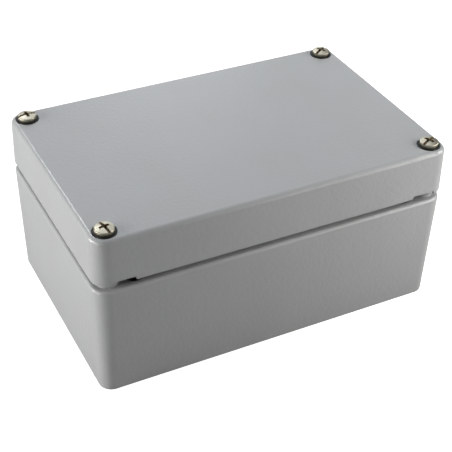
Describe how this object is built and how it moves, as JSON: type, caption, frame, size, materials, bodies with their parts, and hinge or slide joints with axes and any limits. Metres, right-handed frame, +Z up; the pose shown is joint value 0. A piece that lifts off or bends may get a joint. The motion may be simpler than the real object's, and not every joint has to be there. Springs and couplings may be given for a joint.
{
  "type": "die cast aluminium enclosure",
  "caption": "Rectangular painted die-cast metal enclosure: a deep base and a screw-down lid with a rubber gasket, corner blocks for wall fixing, and inner bosses.",
  "frame": {"origin": "on the underside of the base, below the centre of the box", "axes": "+Z up, out of the lid; +X along the long side, towards the right-hand end; -Y is the long front face"},
  "size_m": [0.16, 0.1034, 0.0791],
  "materials": {
    "cast_paint": "satin",
    "stainless": "polished",
    "washer_rubber": "matte",
    "gasket_rubber": "matte",
    "ring_nylon": "satin",
    "copper_plate": "polished"
  },
  "bodies": {
    "base": {"base": "cast_paint", "mount_screw_fl": "copper_plate", "mount_screw_fr": "copper_plate", "mount_screw_bl": "copper_plate", "mount_screw_br": "copper_plate", "spring_washer_fl": "copper_plate", "spring_washer_fr": "copper_plate", "spring_washer_bl": "copper_plate", "spring_washer_br": "copper_plate"},
    "lid": {"lid": "cast_paint", "lid_gasket": "gasket_rubber", "seal_washer_fl": "washer_rubber", "seal_washer_fr": "washer_rubber", "seal_washer_bl": "washer_rubber", "seal_washer_br": "washer_rubber", "retaining_ring_fl": "ring_nylon", "retaining_ring_fr": "ring_nylon", "retaining_ring_bl": "ring_nylon", "retaining_ring_br": "ring_nylon"},
    "lid_screw_fl": {"lid_screw_fl": "stainless"},
    "lid_screw_fr": {"lid_screw_fr": "stainless"},
    "lid_screw_bl": {"lid_screw_bl": "stainless"},
    "lid_screw_br": {"lid_screw_br": "stainless"}
  },
  "joints": [
    {"name": "lid_lift", "type": "slide", "parent": "base", "child": "lid", "axis": [0, 0, 1], "range_m": [0, 0.08]},
    {"name": "screw_turn_fl", "type": "hinge", "parent": "lid", "child": "lid_screw_fl", "pos_m": [-0.0729, -0.04465, 0.0767], "axis": [0, 0, 1], "continuous": true},
    {"name": "screw_turn_fr", "type": "hinge", "parent": "lid", "child": "lid_screw_fr", "pos_m": [0.0729, -0.04465, 0.0767], "axis": [0, 0, 1], "continuous": true},
    {"name": "screw_turn_bl", "type": "hinge", "parent": "lid", "child": "lid_screw_bl", "pos_m": [-0.0729, 0.04465, 0.0767], "axis": [0, 0, 1], "continuous": true},
    {"name": "screw_turn_br", "type": "hinge", "parent": "lid", "child": "lid_screw_br", "pos_m": [0.0729, 0.04465, 0.0767], "axis": [0, 0, 1], "continuous": true}
  ]
}
